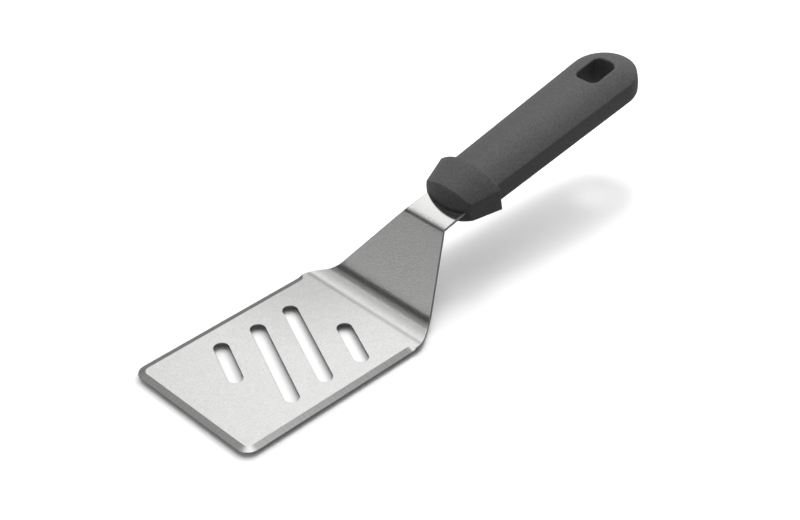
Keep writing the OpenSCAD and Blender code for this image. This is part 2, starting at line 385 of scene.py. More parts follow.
def sheet_profile():
    """The top face from front to end: x, z and slope."""
    upper_run = UPPER_R * math.tan((RISER - TILT) / 2)
    along, normal = ALONG[[0, 2]], ABOVE[[0, 2]]
    upper_centre = CORNER + upper_run * along - UPPER_R * normal
    rows = [(-PAST_ENDS, SHEET_T, 0.0)]
    for t in np.linspace(0, RISER, LOWER_ROWS):
        rows.append((FLAT_L + LOWER_R * math.sin(t), SHEET_T + LOWER_R * (1 - math.cos(t)), t))
    for t in np.linspace(RISER, TILT, UPPER_ROWS):
        rows.append((upper_centre[0] - UPPER_R * math.sin(t), upper_centre[1] + UPPER_R * math.cos(t), t))
    end = CORNER + (TANG_L + PAST_ENDS) * along
    rows.append((end[0], end[1], TILT))
    return np.array(rows).T


PROFILE = sheet_profile()
UPPER_BEND = PROFILE[0][1 + LOWER_ROWS:1 + LOWER_ROWS + UPPER_ROWS]
print("flat part:", round(FLAT_L, 2), "mm, upper corner at", np.round(CORNER, 2))

# %% Places on the bent sheet
CREASE_AT, CREASE_W, CREASE_D = 107.7, 1.05, 0.035


def on_sheet(flat, depth):
    """Places on the bent sheet: x and y seen from above, and a depth under the top face."""
    x, y = np.asarray(flat, float).T
    z, slope = np.interp(x, PROFILE[0], PROFILE[1]), np.interp(x, PROFILE[0], PROFILE[2])
    depth = np.broadcast_to(depth, x.shape)
    return np.column_stack([x + depth * np.sin(slope) - FLAT_L / 2, y, z - depth * np.cos(slope)])


def on_top(flat):
    return on_sheet(flat, CREASE_D * np.exp(-((flat[:, 0] - CREASE_AT) / CREASE_W) ** 2))


def on_underside(flat):
    return on_sheet(flat, SHEET_T)


print("deepest place of the press line:", np.round(on_top(np.array([(CREASE_AT, 0.0)]))[0], 3))

# %% [markdown]
# ## Satin steel
# The sheet comes from the mill with a fine satin grain that has no clear direction. It is metal, so nearly
# all of its look is what it mirrors: the finish needs a roughness that blurs the studio into soft tones, a
# fine bump that breaks them up, and hardly any colour. Behind the upper bend the grain is worn nearly
# smooth. The steel's colour also holds painted shade. It is darker along the press line and the lower bend,
# where it stands in for the dark reflections of the bends, and darker towards one rear corner of the flat. An
# image could hold such marks, but soft steps along the sheet need none.

# %% Painted shade and wear in the satin grain
# Painted shade: darker bands along the press line and the lower bend stand in for the bends' dark
# reflections.
PAINTED_BEND_SHADES = (  # middle along the sheet, half width, share of light lost
    (107.8, 2.0, 0.30),
    (116.8, 8.5, 0.43),
)
WORN_FROM, WORN_FADE = 149.28, 3.0
# Painted shade: the steel is darker towards one rear corner of the flat.
CORNER_SHADE_AT, CORNER_SHADE_REACH = (50 * MM, 40 * MM, 0), 70 * MM
CORNER_SHADE_END, CORNER_SHADE_FADE, CORNER_SHADE_TONE = 107.4, 3.0, 0.76


def along_sheet(flow):
    """The distance from the front edge in millimetres, as seen from above."""
    return part_x(flow) * (1 / MM) + FLAT_L / 2


def painted_bend_shade(flow, along):
    """The share of its light that the steel keeps under the painted shade along the press line and the lower
    bend.
    """
    kept = 1.0
    for at, half, loss in PAINTED_BEND_SHADES:
        kept = kept - soft_step(flow, flow.maths("ABSOLUTE", along - at), half, 0.0) * loss
    return kept


def worn_tang(flow, along):
    """From 0 to 1: how far the grain is worn smooth, behind the upper bend."""
    return soft_step(flow, along, WORN_FROM, WORN_FROM + WORN_FADE)


def painted_corner_shade(flow, along):
    """From 0 to 1: how much painted shade darkens the steel, towards one rear corner of the flat."""
    gap = flow.node("VectorMath", {"operation": "DISTANCE"}, {0: part_place(flow), 1: CORNER_SHADE_AT}, out="Value")
    return soft_step(flow, gap, CORNER_SHADE_REACH, 0.0) * soft_step(flow, along, CORNER_SHADE_END + CORNER_SHADE_FADE, CORNER_SHADE_END)


# The press marks counted here are the painted bend shades.
print("press marks:", len(PAINTED_BEND_SHADES), "worn from", WORN_FROM, "mm")

# %% Satin steel
STEEL_DARK, STEEL_LIGHT = (0.525, 0.523, 0.518), (0.865, 0.862, 0.855)
SATIN_GRAIN, SATIN_CLOUDS, GRAIN_SHARE = 1200, 300, 0.8
WORN_TONE, WORN_SHARE = 0.45, 0.8  # the even tone that wear leaves, and how much of the grain's tone it takes
SATIN_ROUGH, SATIN_SPREAD, WORN_POLISH = 0.28, 0.07, 0.21
SATIN_BUMP, BUMP_DEPTH = 0.28, 0.0003
HARSH = 0.6  # roughness of a noise with more of its finest detail


def satin_steel(flow):
    along = along_sheet(flow)
    worn = worn_tang(flow, along)
    fine = grain(flow, SATIN_GRAIN, roughness=HARSH)
    mixed = fine * GRAIN_SHARE + grain(flow, SATIN_CLOUDS) * (1 - GRAIN_SHARE)
    tone = WORN_TONE + (mixed - WORN_TONE) * (1 - worn * WORN_SHARE)
    # painted shade along the press line and the lower bend
    bend_shaded = darkened(flow, 1.0, tinted(flow, tone, STEEL_DARK, STEEL_LIGHT), painted_bend_shade(flow, along))
    return {
        # painted shade towards one rear corner of the flat
        "Base Color": darkened(flow, painted_corner_shade(flow, along), bend_shaded, (*grey(CORNER_SHADE_TONE), 1)),
        "Metallic": 1.0,
        "Roughness": SATIN_ROUGH + tone * SATIN_SPREAD - worn * WORN_POLISH,
        "Normal": bumped(flow, fine * (1 - worn), SATIN_BUMP, BUMP_DEPTH),
    }


satin = finish("satin_steel", satin_steel)

# %% [markdown]
# ## Ground and cut steel
# The ground edge is the same steel, but the wheel leaves scratches that run across the bevel. They change
# only along the edge, so their noise is fed with the distance travelled round the outline, which the mesh
# keeps at its points. The cut sides, also in the slots, are duller, because the die tears the steel more than
# it cuts it. Their darker colour is partly that torn finish and partly painted shade, for the thin sides and
# the slot walls, which lie in shadow.

# %% Ground and cut steel
GROUND_DARK, GROUND_LIGHT = (0.42, 0.418, 0.412), (0.97, 0.966, 0.958)
SCRATCHES, SCRATCH_SHARE, GROUND_GRAIN = 900, 0.75, 1500
GROUND_ROUGH, GROUND_SPREAD, GROUND_BUMP = 0.28, 0.08, 0.12
# Partly painted shade: these cut colours are darker than the torn finish alone, for the shaded sides and slot
# walls.
CUT_SHADED_DARK, CUT_SHADED_LIGHT = (0.24, 0.239, 0.236), (0.36, 0.358, 0.354)
CUT_GRAIN, CUT_DETAIL = 2400, 3.0
CUT_ROUGH, CUT_SPREAD, CUT_BUMP, CUT_DEPTH = 0.34, 0.12, 0.15, 0.0002


def ground_steel(flow):
    run = flow.node("Attribute", {"attribute_name": "run"}, out="Fac")
    along = flow.node("CombineXYZ", None, {"X": run})
    scratch = grain(flow, SCRATCHES, roughness=HARSH, where=along)
    tone = scratch * SCRATCH_SHARE + grain(flow, GROUND_GRAIN) * (1 - SCRATCH_SHARE)
    return {
        "Base Color": tinted(flow, tone, GROUND_DARK, GROUND_LIGHT),
        "Metallic": 1.0,
        "Roughness": GROUND_ROUGH + tone * GROUND_SPREAD,
        "Normal": bumped(flow, scratch, GROUND_BUMP, BUMP_DEPTH),
    }


def cut_steel_and_shade(flow):
    fine = grain(flow, CUT_GRAIN, detail=CUT_DETAIL)
    return {
        "Base Color": tinted(flow, fine, CUT_SHADED_DARK, CUT_SHADED_LIGHT),
        "Metallic": 1.0,
        "Roughness": CUT_ROUGH + fine * CUT_SPREAD,
        "Normal": bumped(flow, fine, CUT_BUMP, CUT_DEPTH),
    }


ground = finish("ground_steel", ground_steel)
cut = finish("cut_steel_and_shade", cut_steel_and_shade)
SATIN, GROUND, CUT = 0, 1, 2

# %% [markdown]
# ## Outline, slots and anchor holes
# A die stamps the outline, the four slanted slots and the holes that later lock the plastic to the tang. All
# of them are loops seen from above. Boolean cuts could make the slots, but loops can be rounded ring by ring
# like the outer rim, and then need no repair.

# %% Outline of the sheet
HALF_W, TANG_W, TANG_END_W, TANG_END_R = 40.0, 26.2, 21.0, 1.0
SHOULDER_X, SHOULDER_R, FRONT_R, NECK_R = 108.3, 16.0, 6.5, 3.0
OUTLINE_STEP = 1.0
TIE = 0.001  # of two points that lie equally far back, the right one comes first


def sheet_outline():
    """The loop starts at the tang's end, where the plastic hides the seam in the scratches."""
    tail = CORNER[0] + TANG_L * math.cos(TILT)
    right = [(0, -HALF_W, FRONT_R), (SHOULDER_X, -HALF_W, SHOULDER_R),
             (CORNER[0], -TANG_W / 2, NECK_R), (tail, -TANG_END_W / 2, TANG_END_R)]
    left = [(x, -y, r) for x, y, r in reversed(right)]
    loop = rounded_loop(right + left, OUTLINE_STEP)
    return np.roll(loop, -int(np.argmax(loop[:, 0] - TIE * loop[:, 1])), axis=0)


print("outline:", len(sheet_outline()), "points")

# %% Slots and anchor holes
SLOT_W, SLOT_LONG, SLOT_SHORT, SLOT_ANGLE = 7.35, 59.6, 30.3, math.radians(24.3)
SLOTS_AT, SLOT_STEP, OUTER_STEP = (60.3, -1.3), 20.4, (25.4, 14.8)
ANCHORS, ANCHOR_R, ANCHOR_STEP, ANCHOR_END = 3, 4.0, 22.0, 12.0
SLOT_MESH, ANCHOR_POINTS = 1.6, 28
HAIR = 1e-4  # keeps a slot's two round corners from sharing a point


def slot_loops():
    c, s = math.cos(SLOT_ANGLE), math.sin(SLOT_ANGLE)
    loops = []
    for side in (1, -1):
        for x, y, length in ((SLOT_STEP / 2, 0, SLOT_LONG), (OUTER_STEP[0], -OUTER_STEP[1], SLOT_SHORT)):
            a, b = rounded_loop(box_corners(SLOT_W, length, SLOT_W / 2 - HAIR), SLOT_MESH).T
            turned = np.column_stack([a * c + b * s, b * c - a * s])
            loops.append(turned + np.array(SLOTS_AT) + side * np.array([x, y]))
    return loops


def anchor_loops():
    """Round holes in the sloping tang, so they look a little narrow from above."""
    turn = np.linspace(0, 2 * math.pi, ANCHOR_POINTS, endpoint=False)
    loops = []
    for k in range(ANCHORS):
        x = CORNER[0] + (TANG_L - ANCHOR_END - k * ANCHOR_STEP) * math.cos(TILT)
        loops.append(np.column_stack([x + ANCHOR_R * np.cos(turn) * math.cos(TILT), ANCHOR_R * np.sin(turn)]))
    return loops


print("slots:", len(slot_loops()), "anchor holes:", len(anchor_loops()))

# %% [markdown]
# ## Ground edge and rim
# A wheel grinds the bevel along the front and the sides. Its inner line swings out to the outline just before
# the shoulders, where the wheel leaves the sheet. The rim is drawn as seven rings: the inner line, the start
# of the rounded edge, its middle, both ends of the thin side, and the middle and end of the round below.

# %% Rings over the rims
BEVEL_W, BEVEL_DROP, BEVEL_END, RUN_OUT = 3.4, 0.95, 101.2, 2.8
EDGE_R, PLAIN_EDGE_R, SLOT_EDGE_R = 0.09, 0.24, 0.16
SUPPORT = 0.5  # least width of a strip beside a rounded edge
ROUND = 1 - math.sqrt(0.5)  # where the middle of a quarter round lies, as a share of its radius


def ground_width(outline):
    """Along the outline: the ground edge's width, its depth at the rim, and the rim's rounding."""
    past = np.clip((outline[:, 0] - BEVEL_END) / RUN_OUT, 0, 1)
    left = np.sqrt(1 - past ** 2)
    return np.maximum(BEVEL_W * left, SUPPORT), BEVEL_DROP * left, EDGE_R + (PLAIN_EDGE_R - EDGE_R) * past


def inset(loop, by):
    return loop - outward(loop) * np.broadcast_to(by, len(loop))[:, None]


def blade_rim(skin, outline):
    """The seven rings, with the flat loops of the first and the last one."""
    width, drop, edge = ground_width(outline)
    steps = (  # way in, depth, sharp
        (width, 0.0, True),
        (edge, drop * (1 - edge / width), True),
        (edge * ROUND, drop + edge * ROUND, False),
        (0.0, drop + edge, False),
        (0.0, SHEET_T - EDGE_R, False),
        (EDGE_R * ROUND, SHEET_T - EDGE_R * ROUND, False),
        (EDGE_R, SHEET_T, True),
    )
    rings = [skin.ring(on_sheet(inset(outline, by), depth), sharp) for by, depth, sharp in steps]
    skin.bands(rings[:2], GROUND)
    skin.bands(rings[1:], CUT)
    return rings, inset(outline, width), inset(outline, EDGE_R)


def slot_rim(skin, loop):
    """Rings down through one slot: the first, the last, and the flat loop of both."""
    away = outward(loop) * SLOT_EDGE_R
    quarter = [(1, 0), (ROUND, ROUND), (0, 1)]
    steps = [(a, SLOT_EDGE_R * b, b == 0) for a, b in quarter]
    steps += [(a, SHEET_T - SLOT_EDGE_R * b, b == 0) for a, b in reversed(quarter)]
    rings = [skin.ring(on_sheet(loop + away * a, depth), sharp=ends) for a, depth, ends in steps]
    skin.bands(rings, CUT)
    return rings[0], rings[-1], loop + away


print("the ground edge runs out", BEVEL_END + RUN_OUT, "mm from the front")

# %% The blade
BLADE_MESH, BEND_MESH, LOWER_COLUMNS, UPPER_EVERY = 2.4, 2.0, 13, 6
FROM_FRONT, PAST_CREASE, PAST_LOWER, PAST_UPPER = 1.0, 2.2, 2.0, 1.5
TOP_RINGS = 4  # rings of the rim that carry the scratches


def blade_columns():
    """Places along the sheet for scattered points, closer together at the press line and in the bends."""
    crease = CREASE_AT + CREASE_W * np.array([-2, -1, 0, 1, 2])
    lower = FLAT_L + LOWER_R * np.sin(np.linspace(0, RISER, LOWER_COLUMNS))
    flat = np.arange(FROM_FRONT, crease[0], BLADE_MESH)
    before = np.arange(CREASE_AT + PAST_CREASE, FLAT_L, BEND_MESH)
    riser = np.arange(lower[-1] + PAST_LOWER, UPPER_BEND[0], BLADE_MESH)
    tang = np.arange(UPPER_BEND[-1] + PAST_UPPER, CORNER[0] + TANG_L, BLADE_MESH)
    return np.concatenate([flat, crease, before, lower, riser, UPPER_BEND[::UPPER_EVERY], tang])


def keep_run(piece, outline, rings):
    """Stores the distance travelled round the outline at the points of some rings, in metres."""
    steps = np.linalg.norm(np.diff(outline, axis=0), axis=1)
    run = np.zeros(len(piece.data.vertices), np.float32)
    for ring in rings:
        run[ring] = np.concatenate([[0], np.cumsum(steps)]) * MM
    piece.data.attributes.new("run", "FLOAT", "POINT").data.foreach_set("value", run)


def make_blade():
    skin = Skin()
    outline = sheet_outline()
    rings, inner, lowest = blade_rim(skin, outline)
    over, under, flat = zip(*(slot_rim(skin, loop) for loop in slot_loops() + anchor_loops()))
    scattered = grid_points(blade_columns(), HALF_W, BLADE_MESH)
    skin.fill([rings[0], *over], [inner, *flat], scattered, on_top, SATIN)
    skin.fill([rings[-1], *under], [lowest, *flat], scattered, on_underside, SATIN)
    piece = skin.make("slotted_blade", [satin, ground, cut])
    keep_run(piece, outline, rings[:TOP_RINGS])
    return piece


blade = make_blade()
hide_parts("blade")
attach(blade, "root")

# %% [markdown]
# ## Finish of the handle
# The mould for the handle is spark-eroded, so the plastic has a fine matte grain that scatters light and
# hides fingerprints. One noise alone looks too even, so two share the work: a coarse one for the faint
# mottling that is seen at arm's length, and a fine one for the grain itself. The colour is a dark neutral
# grey, a little lighter on the tips of the grain.

# %% Matte moulded plastic
PLASTIC_DARK, PLASTIC_LIGHT = grey(0.010), grey(0.136)
MOTTLE, MOTTLE_SHARE, PLASTIC_GRAIN = 1050, 0.8, 2400
PLASTIC_ROUGH, PLASTIC_SPREAD, PLASTIC_BUMP, PLASTIC_IOR = 0.46, 0.16, 0.22, 1.46


def moulded_plastic(flow):
    mottle = grain(flow, MOTTLE, roughness=HARSH)
    tone = mottle * MOTTLE_SHARE + grain(flow, PLASTIC_GRAIN) * (1 - MOTTLE_SHARE)
    return {
        "Base Color": tinted(flow, tone, PLASTIC_DARK, PLASTIC_LIGHT),
        "Roughness": PLASTIC_ROUGH + tone * PLASTIC_SPREAD,
        "IOR": PLASTIC_IOR,
        "Normal": bumped(flow, tone, PLASTIC_BUMP, BUMP_DEPTH),
    }


plastic = finish("moulded_plastic", moulded_plastic)

# %% [markdown]
# ## The handle's own frame
# The handle follows the tang, so it is drawn in the tang's frame: s runs along the tang from the upper bend's
# corner, y across it, and h up from the middle of the sheet. One function carries a point from there to the
# part. The grip's top is crowned and widens towards the round end, so it is a piece of a cone that runs
# smoothly into a ball. Working out its height at a place keeps it exact, where a subdivided cage would drift.

# %% Frame and crowned surfaces
NOSE_S, COLLAR_END, TIP = 12.2, 33.7, 151.2
GRIP_HALF, GRIP_SIDE, END_R = 15.6, 5.15, 18.2
GRIP_CROWN, GRIP_BELLY = 6.0, 3.0
END_S = TIP - END_R
GRIP_L = END_S - COLLAR_END
FLARE = math.asin(END_R / math.hypot(GRIP_HALF, GRIP_L)) - math.atan2(GRIP_HALF, GRIP_L)
ACROSS = np.array([0, 1, 0])
HANDLE_AT = np.array([CORNER[0] - FLAT_L / 2, 0, CORNER[1]]) - ABOVE * SHEET_T / 2


def on_handle(points):
    s, y, h = np.asarray(points, float).T
    return HANDLE_AT + s[:, None] * ALONG + y[:, None] * ACROSS + h[:, None] * ABOVE


def crown_height(s, y, rise):
    """Height of the grip's crowned face: a cone that runs into a ball over the round end."""
    radius = (END_R ** 2 + rise ** 2) / (2 * rise)
    drop = radius - rise
    reach = END_R / math.sin(FLARE)
    lean, spread = math.atan2(drop, reach), math.asin(radius / math.hypot(reach, drop))
    x = s - (END_S - reach)
    a = math.sin(lean) ** 2 - math.cos(spread) ** 2
    b = -2 * x * math.cos(lean) * math.sin(lean)
    c = (x * math.cos(lean)) ** 2 - math.cos(spread) ** 2 * (x ** 2 + y ** 2)
    cone = (-b - np.sqrt(np.maximum(b * b - 4 * a * c, 0))) / (2 * a)
    ball = np.sqrt(np.maximum(radius ** 2 - (s - END_S) ** 2 - y ** 2, 0)) - drop
    past = (s - END_S) * math.cos(lean) - (ball + drop) * math.sin(lean) + radius * math.sin(spread)
    return GRIP_SIDE + np.where(past > 0, ball, cone)


def crown_at(s, y, rise):
    return float(crown_height(np.array([s]), np.array([y]), rise)[0])


print("crest over the round end:", round(crown_at(END_S, 0, GRIP_CROWN), 2), "mm")

# %% [markdown]
# ## Grip with a round end and a hang hole
# Seen from above the grip is a plain outline with a hole, so it is made like the blade: columns of points
# step over each rim from the top face to the underside, and both crowned faces are filled between the rims.
# The side is not quite flat. A mould half has to let go of it, so it swells a little towards the middle,
# where the halves meet.

# %% Columns over a rim
RIM_R, HOLE_R, SWELL = 0.75, 0.8, 0.3
TURNS, WALL = 4, 4  # pieces of a rounded edge, and of a wall
FEEL = 0.5  # how far inside a rim the crown's slope is measured


def rim_half(s, y, ds, dy, rise, radius):
    """From the crowned face round one edge to the wall: way in, height, and normal in and up. Also gives the
    height at which the wall starts."""
    edge = crown_at(s, y, rise)
    lean = math.atan2(crown_at(s + FEEL * ds, y + FEEL * dy, rise) - edge, FEEL)
    centre = edge + radius * math.tan(lean) - radius / math.cos(lean)
    start = radius * (1 - math.sin(lean)) + SUPPORT
    half = [(start, crown_at(s + start * ds, y + start * dy, rise), -math.sin(lean), math.cos(lean))]
    for k in range(TURNS + 1):
        turn = math.pi / 2 + lean + (math.pi / 2 - lean) * k / TURNS
        c, u = math.cos(turn), math.sin(turn)
        half.append((radius * (1 + c), centre + radius * u, c, u))
    return half, centre


def below(rows):
    return [(a, -h, b, -u) for a, h, b, u in rows]


def rim_columns(loop, into, radius, swell):
    """Over each place on a rim: points from the top face to the underside, and their normals in and up."""
    columns, normals = [], []
    for (s, y), (ds, dy) in zip(loop, into):
        over, high = rim_half(s, y, ds, dy, GRIP_CROWN, radius)
        under, low = rim_half(s, y, ds, dy, GRIP_BELLY, radius)
        wall = []
        for k in range(1, WALL):
            out = swell * (1 - (2 * k / WALL - 1) ** 2)
            wall.append((-out, high + (-low - high) * k / WALL, -1.0, 0.0))
        column = over + wall + below(under)[::-1]
        columns.append([(s + d * ds, y + d * dy, h) for d, h, _, _ in column])
        normals.append([(c, u) for _, _, c, u in column])
    return np.array(columns), np.array(normals)


print("points in a column:", 2 * (TURNS + 2) + WALL - 1)

# %% Outlines of the grip and the hang hole
FILLET_R = 3.0
GRIP_START = COLLAR_END + FILLET_R
SIDE_POINTS, END_POINTS = 58, 64
HANG_L, HANG_W, HANG_R, HANG_FROM_TIP = 19.5, 13.5, 4.4, 13.3
HANG_AT, HANG_STEP = TIP - HANG_FROM_TIP - HANG_L / 2, 1.2


def grip_outline():
    """From the collar along the right side, round the end and back along the left side, with the way in."""
    straight = np.linspace(GRIP_START, END_S - END_R * math.sin(FLARE), SIDE_POINTS)
    half = GRIP_HALF + (straight - COLLAR_END) * math.tan(FLARE)
    side = np.column_stack([straight, -half])
    widest = math.pi / 2 + FLARE
    turn = np.linspace(-widest, widest, END_POINTS)[1:-1]
    end = np.column_stack([END_S + END_R * np.cos(turn), END_R * np.sin(turn)])
    loop = np.vstack([side, end, side[::-1] * [1, -1]])
    facing = np.concatenate([np.full(len(side), -widest), turn, np.full(len(side), widest)])
    return loop, -np.column_stack([np.cos(facing), np.sin(facing)])


def hang_outline():
    loop = rounded_loop(box_corners(HANG_L, HANG_W, HANG_R), HANG_STEP)
    return loop + [HANG_AT, 0], outward(loop)


print("middle of the hang hole:", round(TIP - HANG_AT, 2), "mm from the end")

# %% [markdown]
# ## Collar, nose and the pocket for the tang
# The collar is a tapered, crowned tube that stops the hand. Its straight lines all run to one point, so it is
# drawn from its rear section by shrinking that section towards the point until it meets the domed nose. The
# rear edge is rounded, and a fillet leads from the rear face into the grip. The nose is a patch of a
# barrel-shaped dome, with the narrow pocket where the tang goes in.

# %% Sizes of the collar
COLLAR_HALF, COLLAR_SIDE, COLLAR_CROWN, COLLAR_BELLY = 20.0, 6.25, 8.0, 5.0
NOSE_HALF, NOSE_SIDE = 13.5, 4.6
COLLAR_EDGE_R, REAR_R, NOSE_EDGE_R = 0.6, 0.5, 0.4
COLLAR_INNER = COLLAR_HALF - COLLAR_EDGE_R
NOSE_PLAN_R, NOSE_ARCH_R = 26.7, 18.0
NOSE_AXIS = NOSE_S + NOSE_PLAN_R
SHRINK_L = COLLAR_HALF / (COLLAR_HALF - NOSE_HALF) * (COLLAR_END - NOSE_S)
APEX_H = NOSE_SIDE - NOSE_HALF * (COLLAR_SIDE - NOSE_SIDE) / (COLLAR_HALF - NOSE_HALF)


def nose_s(y, h):
    """Where the domed nose lies along the handle, at a place across it."""
    reach = NOSE_PLAN_R - NOSE_ARCH_R + np.sqrt(np.maximum(NOSE_ARCH_R ** 2 - h ** 2, 0))
    return NOSE_AXIS - np.sqrt(np.maximum(reach ** 2 - y ** 2, 0))


def on_nose(flat):
    return on_handle(np.column_stack([nose_s(flat[:, 0], flat[:, 1]), flat]))


def from_apex(section):
    """The section, seen from the height at which the collar's lines meet."""
    return section - np.column_stack([np.zeros(len(section)), np.sign(section[:, 1]) * APEX_H])


def shrunk(section, s):
    """The collar's section drawn towards the point where its lines meet, as far as s."""
    s = np.broadcast_to(s, len(section))
    share = 1 - (COLLAR_END - s) / SHRINK_L
    y = section[:, 0] * share
    h = np.sign(section[:, 1]) * APEX_H + from_apex(section)[:, 1] * share
    return np.column_stack([s, y, h])


print("the collar's lines meet", round(SHRINK_L, 1), "mm in front of its rear edge")

# %% Section of the collar
class Arch:
    """One crowned half of the section, as an upper one: points and normals in y and h."""

    def __init__(self, rise):
        self.radius = (COLLAR_HALF ** 2 + rise ** 2) / (2 * rise)
        self.middle = COLLAR_SIDE + rise - self.radius
        self.wall_from = self.middle + math.sqrt((self.radius - COLLAR_EDGE_R) ** 2 - COLLAR_INNER ** 2)
        self.meet = math.atan2(COLLAR_INNER, self.wall_from - self.middle)
        self.edge = self.meet - SUPPORT / self.radius

    def at(self, turn):
        y, h = math.sin(turn), math.cos(turn)
        return (self.radius * y, self.middle + self.radius * h, y, h)

    def corner(self):
        """From the crowned face round the edge to the wall, where y is positive."""
        rows = [self.at(self.edge)]
        for k in range(TURNS + 1):
            turn = self.meet + (math.pi / 2 - self.meet) * k / TURNS
            y, h = math.sin(turn), math.cos(turn)
            rows.append((COLLAR_INNER + COLLAR_EDGE_R * y, self.wall_from + COLLAR_EDGE_R * h, y, h))
        return rows

    def face(self, count):
        return [self.at(turn) for turn in np.linspace(-1, 1, count + 2)[1:-1] * self.edge]


def collar_section(count):
    """The collar's rear section in the order of the grip's, with some points across each crowned face."""
    over, under = Arch(COLLAR_CROWN), Arch(COLLAR_BELLY)
    high, low = over.wall_from, under.wall_from
    wall = [(COLLAR_HALF, high + (-low - high) * k / WALL, 1.0, 0.0) for k in range(1, WALL)]
    left = over.corner() + wall + below(under.corner())[::-1]
    right = [(-y, h, -a, b) for y, h, a, b in left]
    rows = np.array(right + below(under.face(count)) + left[::-1] + over.face(count)[::-1])
    return rows[:, :2], rows[:, 2:]


print("top of the collar's wall:", round(Arch(COLLAR_CROWN).wall_from, 2), "mm")

# %% Rings of the collar
TUBE_STEPS = (0.2, 0.4, 0.6, 0.8, 0.95)
HALVINGS, NOSE_REACH = 40, 4.0  # steps of the search for the nose, and how far in front it starts


def rear_edge(skin, section, normals, taper):
    lean = np.arctan(taper)
    inset_c = REAR_R * taper + REAR_R / np.cos(lean)
    rings = []
    for k in range(TURNS + 1):
        turn = (math.pi / 2 + lean) * k / TURNS
        s = COLLAR_END - REAR_R + REAR_R * np.cos(turn)
        moved = section - normals * (inset_c - REAR_R * np.sin(turn))[:, None]
        rings.append(skin.ring(on_handle(np.column_stack([s, moved]))))
    return rings


def nose_line(section, rear):
    """Where the collar's lines meet the domed nose, found by halving."""
    near, far = np.full(len(section), NOSE_S - NOSE_REACH), rear
    for _ in range(HALVINGS):
        middle = (near + far) / 2
        at = shrunk(section, middle)
        short = at[:, 0] < nose_s(at[:, 1], at[:, 2])
        near, far = np.where(short, middle, near), np.where(short, far, middle)
    return shrunk(section, far)


def dome_normals(rim):
    s, y, h = (rim - [NOSE_AXIS, 0, 0]).T
    reach = np.hypot(s, y)
    return unit(np.column_stack([s / reach, y / reach, h / np.sqrt(NOSE_ARCH_R ** 2 - h ** 2)]))


def turned_between(a, b, t):
    """Unit vectors a share t of the way from a to b."""
    turn = np.arccos(np.clip((a * b).sum(axis=1, keepdims=True), -1, 1))
    return (a * np.sin((1 - t) * turn) + b * np.sin(t * turn)) / np.sin(turn)


def collar_rings(skin, section, normals):
    """Rings over the rear edge, along the tube and round the rim of the nose, with the last one's y and h."""
    taper = (from_apex(section) * normals).sum(axis=1) / SHRINK_L
    lean = np.arctan(taper)
    rings = rear_edge(skin, section, normals, taper)
    rear = COLLAR_END - REAR_R * (1 + np.sin(lean))
    rim = nose_line(section, rear)
    tube = np.column_stack([-np.sin(lean), normals * np.cos(lean)[:, None]])
    dome = dome_normals(rim)
    centre = rim - NOSE_EDGE_R * (tube + dome) / (1 + (tube * dome).sum(axis=1, keepdims=True))
    front = (centre + NOSE_EDGE_R * tube)[:, 0]
    for t in TUBE_STEPS:
        rings.append(skin.ring(on_handle(shrunk(section, rear + (front - rear) * t))))
    for k in range(TURNS + 1):
        rings.append(skin.ring(on_handle(centre + NOSE_EDGE_R * turned_between(tube, dome, k / TURNS))))
    return rings, (centre + NOSE_EDGE_R * dome)[:, 1:]


print("rings of the collar:", 2 * (TURNS + 1) + len(TUBE_STEPS))

# %% Pocket for the tang
POCKET_GAP, POCKET_R, POCKET_STEP = 0.05, 0.2, 1.0
NOSE_L, NOSE_H, NOSE_MESH = 16.0, 12.0, 1.6


def pocket_loop():
    wide = TANG_W + (TANG_END_W - TANG_W) * NOSE_S / TANG_L + 2 * POCKET_GAP
    tall = SHEET_T + 2 * POCKET_GAP
    return rounded_loop(box_corners(wide, tall, POCKET_R), POCKET_STEP)


def close_nose(skin, ring, rim):
    """The pocket's walls and end, and the nose's face between the pocket and the collar's last ring."""
    pocket = pocket_loop()
    mouth = skin.ring(on_nose(pocket))
    deep = np.full(len(pocket), TANG_L + POCKET_GAP)
    end = skin.ring(on_handle(np.column_stack([deep, pocket * [TANG_END_W / TANG_W, 1]])))
    skin.bands([mouth, end])
    skin.face(end)
    scattered = grid_points(np.arange(-NOSE_L, NOSE_L + NOSE_MESH / 2, NOSE_MESH), NOSE_H, NOSE_MESH)
    skin.fill([ring, mouth], [rim, pocket], scattered, on_nose)


print("pocket:", np.round(np.ptp(pocket_loop(), axis=0), 2), "mm")

# %% Faces of the grip
ARCH_POINTS, FILLET_STEPS = 17, 6
GRIP_MESH, GRIP_MARGIN = 2.3, 2.2
NUDGE = 0.1  # half the distance over which the crown's slope across is measured


def upright(skin, columns, closed=True):
    """Joins columns of points side by side, and gives their rings."""
    rings = [skin.ring(on_handle(columns[:, k])) for k in range(columns.shape[1])]
    skin.bands(rings, closed=closed)
    return rings


def grip_arch(edge, rise, sign):
    """Points across a crowned face where the fillet starts, and their normals in y and h."""
    y = np.linspace(-edge, edge, ARCH_POINTS)[1:-1]
    s = np.full(len(y), GRIP_START)
    tilt = (crown_height(s, y + NUDGE, rise) - crown_height(s, y - NUDGE, rise)) / (2 * NUDGE)
    normal = np.column_stack([-tilt, np.full(len(y), sign)]) / np.hypot(tilt, 1)[:, None]
    return np.column_stack([s, y, sign * crown_height(s, y, rise)]), normal


def crowned(rise, sign):
    """A way from flat points to a crowned face of the grip."""
    def place(flat):
        return on_handle(np.column_stack([flat, sign * crown_height(flat[:, 0], flat[:, 1], rise)]))
    return place


def fillet_rings(skin, base, facing):
    """Rings from the grip's start out to the collar's rear face."""
    rings = []
    for k in range(1, FILLET_STEPS + 1):
        turn = math.pi / 2 * k / FILLET_STEPS
        s = np.full(len(base), COLLAR_END + FILLET_R * (1 - math.sin(turn)))
        grown = base + facing * FILLET_R * (1 - math.cos(turn))
        rings.append(skin.ring(on_handle(np.column_stack([s, grown]))))
    return rings


print("the grip starts", GRIP_START, "mm behind the bend's corner")

